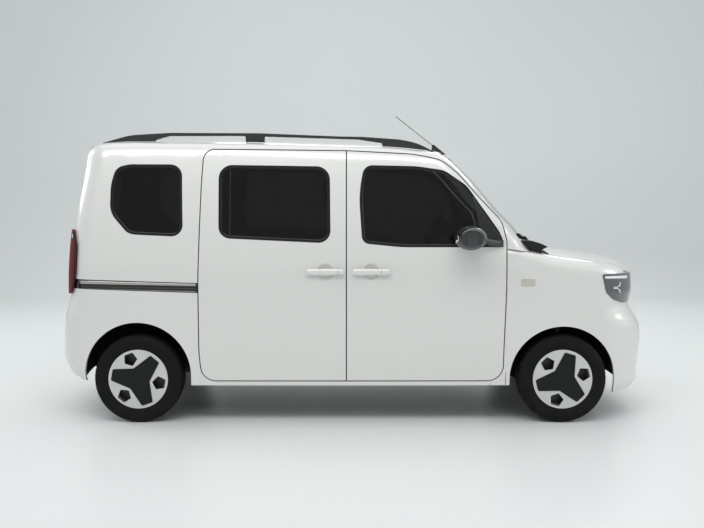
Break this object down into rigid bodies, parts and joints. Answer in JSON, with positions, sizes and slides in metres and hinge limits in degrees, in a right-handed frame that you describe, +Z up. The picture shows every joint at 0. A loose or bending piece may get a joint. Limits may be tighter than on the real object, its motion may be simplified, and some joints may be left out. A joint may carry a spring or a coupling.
{
  "type": "kei car",
  "caption": "Small tall five-door van-like car with sliding rear doors, roof rails, a short bonnet and steel wheels under three-blade covers.",
  "frame": {"origin": "on the floor under the middle of the whole car", "axes": "+X points to the front of the car, +Y to its left and +Z up"},
  "size_m": [3.3951, 1.865, 1.7476],
  "materials": {
    "paint": "pearl gloss",
    "glass": "dark tint",
    "dark_trim": "matte",
    "tyre": "matte",
    "wheel_steel": "satin",
    "cover_silver": "satin silver",
    "chassis": "satin",
    "mirror_black": "gloss",
    "lamp_red": "gloss",
    "lamp_clear": "gloss",
    "liner": "matte",
    "cast": "cast",
    "seat_fabric": "woven",
    "dash": "matte",
    "rail_black": "gloss",
    "cowl": "matte"
  },
  "bodies": {
    "body": {"side_frame_right": "paint", "side_frame_left": "paint", "centre_post_right": "dark_trim", "centre_post_left": "dark_trim", "quarter_panel_right": "paint", "quarter_panel_left": "paint", "fender_right": "paint", "fender_left": "paint", "sliding_door_right": "paint", "sliding_door_left": "paint", "sliding_door_glass": "glass", "quarter_glass": "glass", "tail_lamps": "lamp_red", "roof_panel": "paint", "windscreen": "glass", "rear_bumper": "paint", "front_bumper": "paint", "headlamps": "lamp_clear", "floor_pan": "chassis", "battery_pack": "dark_trim", "arch_liners": "liner", "front_suspension": "chassis", "rear_axle": "chassis", "rear_springs": "chassis", "drive_unit": "cast", "front_seats": "seat_fabric", "rear_bench": "seat_fabric", "dashboard": "dash", "roof_rails": "rail_black", "antenna": "rail_black", "cowl_panel": "cowl", "cowl_end_caps": "cowl", "wipers": "cowl", "slide_tracks": "wheel_steel", "side_repeaters": "lamp_clear"},
    "front_door_right": {"front_door_right": "paint", "front_door_glass_right": "glass", "mirror_right": "mirror_black"},
    "front_door_left": {"front_door_left": "paint", "front_door_glass_left": "glass", "mirror_left": "mirror_black"},
    "bonnet": {"bonnet": "paint"},
    "tailgate": {"tailgate": "paint", "tailgate_glass": "glass"},
    "steering_wheel": {"steering_wheel": "dash"},
    "knuckle_right": {"knuckle_right": "chassis"},
    "knuckle_left": {"knuckle_left": "chassis"},
    "front_wheel_right": {"front_tyre_right": "tyre", "front_wheel_right": "wheel_steel", "front_wheel_cover_right": "cover_silver"},
    "front_wheel_left": {"front_tyre_left": "tyre", "front_wheel_left": "wheel_steel", "front_wheel_cover_left": "cover_silver"},
    "rear_wheel_right": {"rear_tyre_right": "tyre", "rear_wheel_right": "wheel_steel", "rear_wheel_cover_right": "cover_silver"},
    "rear_wheel_left": {"rear_tyre_left": "tyre", "rear_wheel_left": "wheel_steel", "rear_wheel_cover_left": "cover_silver"}
  },
  "joints": [
    {"name": "steer_left", "type": "hinge", "parent": "body", "child": "knuckle_left", "pos_m": [1.15, 0.535, 0.246], "axis": [0, 0, 1], "range_deg": [-30, 30]},
    {"name": "steer_right", "type": "hinge", "parent": "body", "child": "knuckle_right", "pos_m": [1.15, -0.535, 0.246], "axis": [0, 0, 1], "range_deg": [-30, 30]},
    {"name": "steering_wheel_turn", "type": "hinge", "parent": "body", "child": "steering_wheel", "pos_m": [0.49392, 0.30975, 0.99022], "axis": [-0.8829, 0, 0.4695], "range_deg": [-480, 480]},
    {"name": "front_wheel_left_spin", "type": "hinge", "parent": "knuckle_left", "child": "front_wheel_left", "pos_m": [1.15, 0.645, 0.246], "axis": [0, 1, 0], "continuous": true},
    {"name": "front_wheel_right_spin", "type": "hinge", "parent": "knuckle_right", "child": "front_wheel_right", "pos_m": [1.15, -0.645, 0.246], "axis": [0, 1, 0], "continuous": true},
    {"name": "rear_wheel_left_spin", "type": "hinge", "parent": "body", "child": "rear_wheel_left", "pos_m": [-1.21, 0.645, 0.246], "axis": [0, 1, 0], "continuous": true},
    {"name": "rear_wheel_right_spin", "type": "hinge", "parent": "body", "child": "rear_wheel_right", "pos_m": [-1.21, -0.645, 0.246], "axis": [0, 1, 0], "continuous": true},
    {"name": "front_door_right_hinge", "type": "hinge", "parent": "body", "child": "front_door_right", "pos_m": [0.808, -0.726, 0.6], "axis": [0, 0, 1], "range_deg": [0, 68]},
    {"name": "front_door_left_hinge", "type": "hinge", "parent": "body", "child": "front_door_left", "pos_m": [0.808, 0.726, 0.6], "axis": [0, 0, -1], "range_deg": [0, 68]},
    {"name": "bonnet_hinge", "type": "hinge", "parent": "body", "child": "bonnet", "pos_m": [1.075, 0, 0.944], "axis": [0, -1, 0], "range_deg": [0, 45]},
    {"name": "tailgate_hinge", "type": "hinge", "parent": "body", "child": "tailgate", "pos_m": [-1.4806, 0, 1.575], "axis": [0, 1, 0], "range_deg": [0, 80]}
  ],
  "couplings": [
    {"joint": "steer_right", "follows": "steer_left", "ratio": 1},
    {"joint": "steering_wheel_turn", "follows": "steer_left", "ratio": 15}
  ]
}
